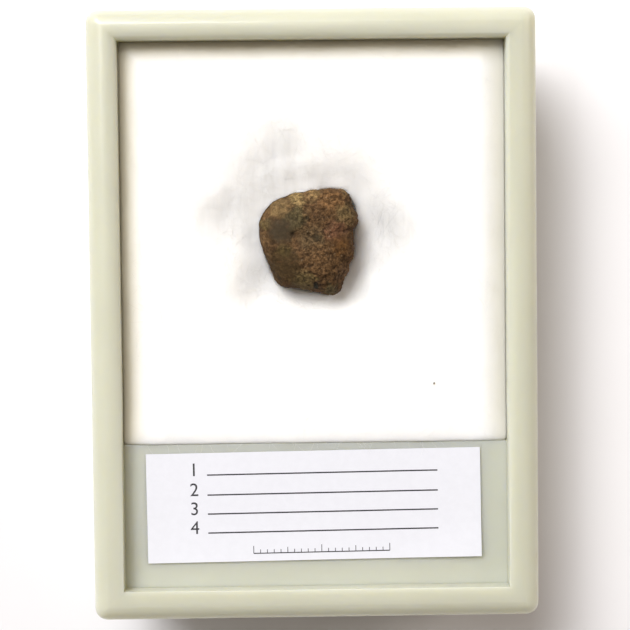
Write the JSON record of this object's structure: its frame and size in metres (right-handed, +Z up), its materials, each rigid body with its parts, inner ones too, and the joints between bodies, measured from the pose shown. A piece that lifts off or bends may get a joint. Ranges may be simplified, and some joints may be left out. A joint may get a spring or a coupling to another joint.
{
  "type": "meteorite specimen in case",
  "caption": "Weathered brown chondrite sunk in a white cotton pad in a shallow ivory plastic specimen case with a half-round rim and a paper label on its shelf.",
  "frame": {"origin": "middle of the case's underside", "axes": "+Z up out of the open case, +Y along the case's long side away from the label, +X to the right as the label is read"},
  "size_m": [0.065, 0.0886, 0.0201],
  "materials": {
    "case_plastic": "satin",
    "cotton": "matte",
    "weathered_chondrite": "matte",
    "label_paper": "matte"
  },
  "bodies": {
    "root": {"case": "case_plastic", "cotton_pad": "cotton", "meteorite": "weathered_chondrite", "paper_label": "label_paper"}
  },
  "joints": []
}
